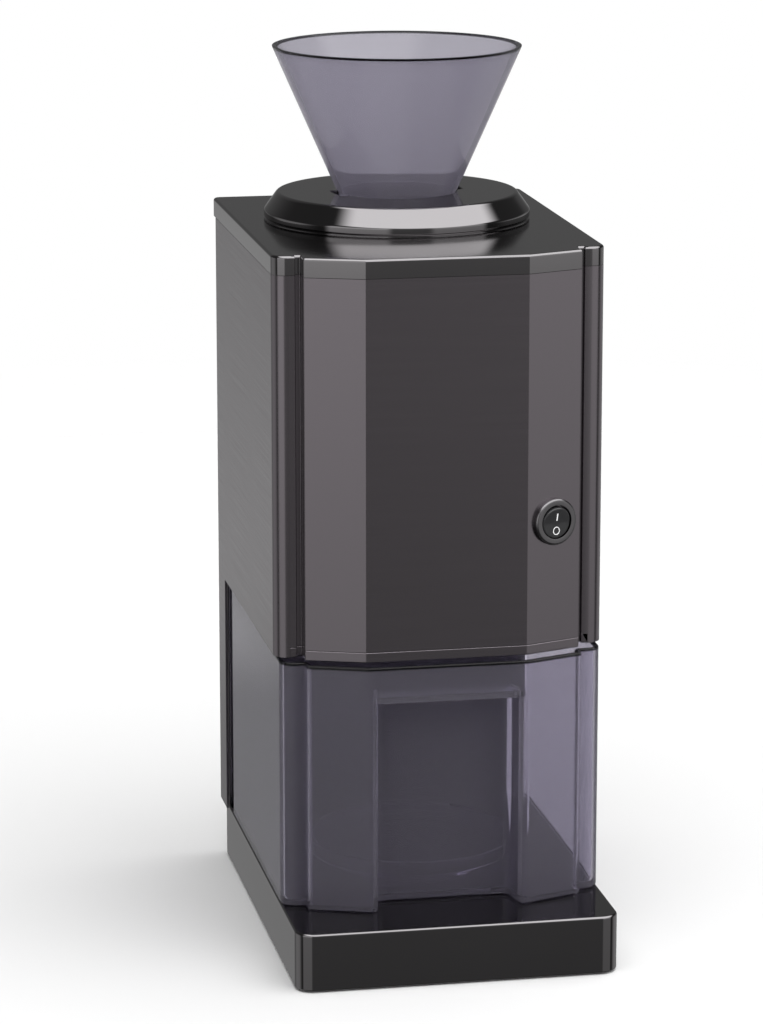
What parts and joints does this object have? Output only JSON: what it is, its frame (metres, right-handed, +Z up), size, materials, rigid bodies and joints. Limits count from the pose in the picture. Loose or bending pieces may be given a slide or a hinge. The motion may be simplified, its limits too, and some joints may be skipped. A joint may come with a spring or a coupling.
{
  "type": "ice crusher",
  "caption": "Electric countertop ice crusher with a smoked funnel, dark faceted steel housing, round rocker switch and a slide-out smoked ice container on a gloss base.",
  "frame": {"origin": "on the surface the feet stand on, at the centre of the overall footprint", "axes": "+Z up, front faces -Y, +X to the right seen from the front"},
  "size_m": [0.1752, 0.26, 0.47],
  "materials": {
    "gloss_black": "polished black plastic",
    "dark_steel": "dark tinted steel, fine horizontal brushing",
    "smoked_plastic": "clear plastic tinted smoke grey, polished",
    "grey_plastic": "moulded, fine texture",
    "rubber": "soft black rubber",
    "zinc_steel": "zinc plated",
    "blade_steel": "ground stainless",
    "die_cast": "cast aluminium",
    "bronze": "sintered bronze",
    "lamination": "stacked steel sheet",
    "winding": "enamelled copper wire",
    "gear_plastic": "natural acetal",
    "terminal_plastic": "natural nylon",
    "wire_blue": "soft insulation"
  },
  "bodies": {
    "machine": {"base_plinth": "gloss_black", "base_plate": "grey_plastic", "foot_front_left": "rubber", "foot_front_right": "rubber", "foot_rear_left": "rubber", "foot_rear_right": "rubber", "base_screws": "zinc_steel", "housing_wrap": "dark_steel", "lower_trim": "dark_steel", "housing_floor": "gloss_black", "floor_screws": "zinc_steel", "column_front_panel": "gloss_black", "rear_panel": "dark_steel", "rear_screws": "zinc_steel", "cord_gland": "grey_plastic", "gland_nut": "grey_plastic", "top_cover": "gloss_black", "cover_screws": "zinc_steel", "collar": "gloss_black", "collar_gasket": "rubber", "switch_housing": "gloss_black", "switch_terminals": "bronze", "chassis_plate": "zinc_steel", "gear_case": "die_cast", "gear_case_cover": "die_cast", "gear_case_screws": "zinc_steel", "drum_standoffs": "zinc_steel", "chamber_drum": "die_cast", "drum_screws": "zinc_steel", "chamber_lid": "blade_steel", "lid_screws": "zinc_steel", "fixed_blades": "blade_steel", "fixed_blade_screws": "zinc_steel", "discharge_chute": "gloss_black", "shaft_seal": "rubber", "upper_bearing": "bronze", "lower_bearing": "bronze", "motor_top_bell": "die_cast", "motor_bottom_bell": "die_cast", "stator_core": "lamination", "stator_windings": "winding", "motor_tie_bolts": "zinc_steel", "motor_top_bearing": "zinc_steel", "motor_bottom_bearing": "zinc_steel", "terminal_block": "terminal_plastic", "wiring_loom": "wire_blue"},
    "rocker": {"rocker": "gloss_black"},
    "cutter": {"cutter_shaft": "zinc_steel", "rotor_disc": "blade_steel", "crusher_blades": "blade_steel", "sweeper": "blade_steel", "rotor_nut": "zinc_steel", "drive_gear": "gear_plastic"},
    "motor_rotor": {"motor_shaft": "zinc_steel", "rotor_core": "lamination", "pinion": "zinc_steel", "cooling_fan": "grey_plastic"},
    "ice_container": {"ice_container": "smoked_plastic"},
    "funnel": {"funnel": "smoked_plastic"}
  },
  "joints": [
    {"name": "rocker_switch", "type": "hinge", "parent": "machine", "child": "rocker", "pos_m": [0.05733, -0.0873, 0.2355], "axis": [-0.9415, -0.3371, 0], "range_deg": [0, 14]},
    {"name": "cutter_spin", "type": "hinge", "parent": "machine", "child": "cutter", "pos_m": [0, 0.0434, 0.3], "axis": [0, 0, 1], "continuous": true},
    {"name": "motor_spin", "type": "hinge", "parent": "machine", "child": "motor_rotor", "pos_m": [0, 0.08048, 0.25], "axis": [0, 0, 1], "continuous": true},
    {"name": "container_slide", "type": "slide", "parent": "machine", "child": "ice_container", "axis": [0, -1, 0], "range_m": [0, 0.2]},
    {"name": "funnel_lift", "type": "slide", "parent": "machine", "child": "funnel", "axis": [0, 0, 1], "range_m": [0, 0.12]}
  ],
  "couplings": [
    {"joint": "motor_spin", "follows": "cutter_spin", "ratio": -4.2857}
  ]
}
